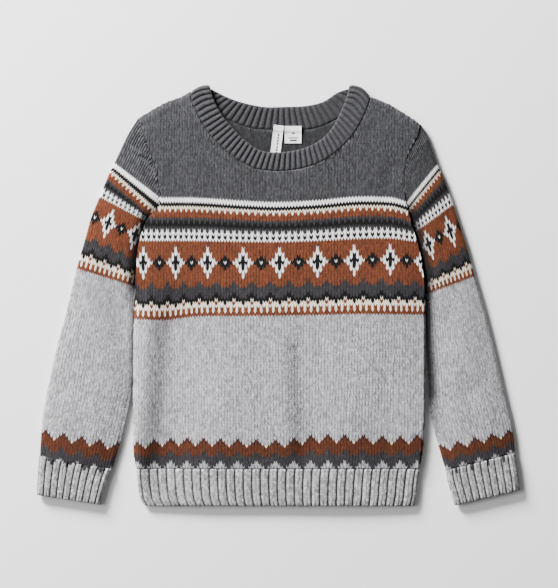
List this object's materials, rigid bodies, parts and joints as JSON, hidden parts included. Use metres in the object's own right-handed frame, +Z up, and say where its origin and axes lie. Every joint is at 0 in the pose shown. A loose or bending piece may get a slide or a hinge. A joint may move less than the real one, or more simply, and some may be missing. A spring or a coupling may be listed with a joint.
{
  "type": "child's fair isle jumper laid flat",
  "caption": "Child's crew-neck knitted jumper in a fair isle pattern, laid flat front side up, with ribbed neck, hem and cuffs, open at neck, hem and sleeves.",
  "frame": {"origin": "on the surface the jumper lies on, under the middle of its outline", "axes": "+Z up, out of the jumper's front; +Y from the hem towards the neck; +X across the chest, to the right as seen from above"},
  "size_m": [0.5324, 0.4637, 0.0093],
  "materials": {
    "fair_isle_knit": "heathered stocking stitch with stranded colour bands",
    "light_grey_rib": "heathered 2x1 rib",
    "charcoal_rib": "heathered 1x1 rib",
    "label_cloth": "woven satin label"
  },
  "bodies": {
    "root": {"front_panel": "fair_isle_knit", "back_panel": "fair_isle_knit", "left_sleeve": "fair_isle_knit", "right_sleeve": "fair_isle_knit", "neckband": "charcoal_rib", "hem_rib_front": "light_grey_rib", "hem_rib_back": "light_grey_rib", "left_cuff": "light_grey_rib", "right_cuff": "light_grey_rib", "label_strip": "label_cloth", "label_square": "label_cloth"}
  },
  "joints": []
}
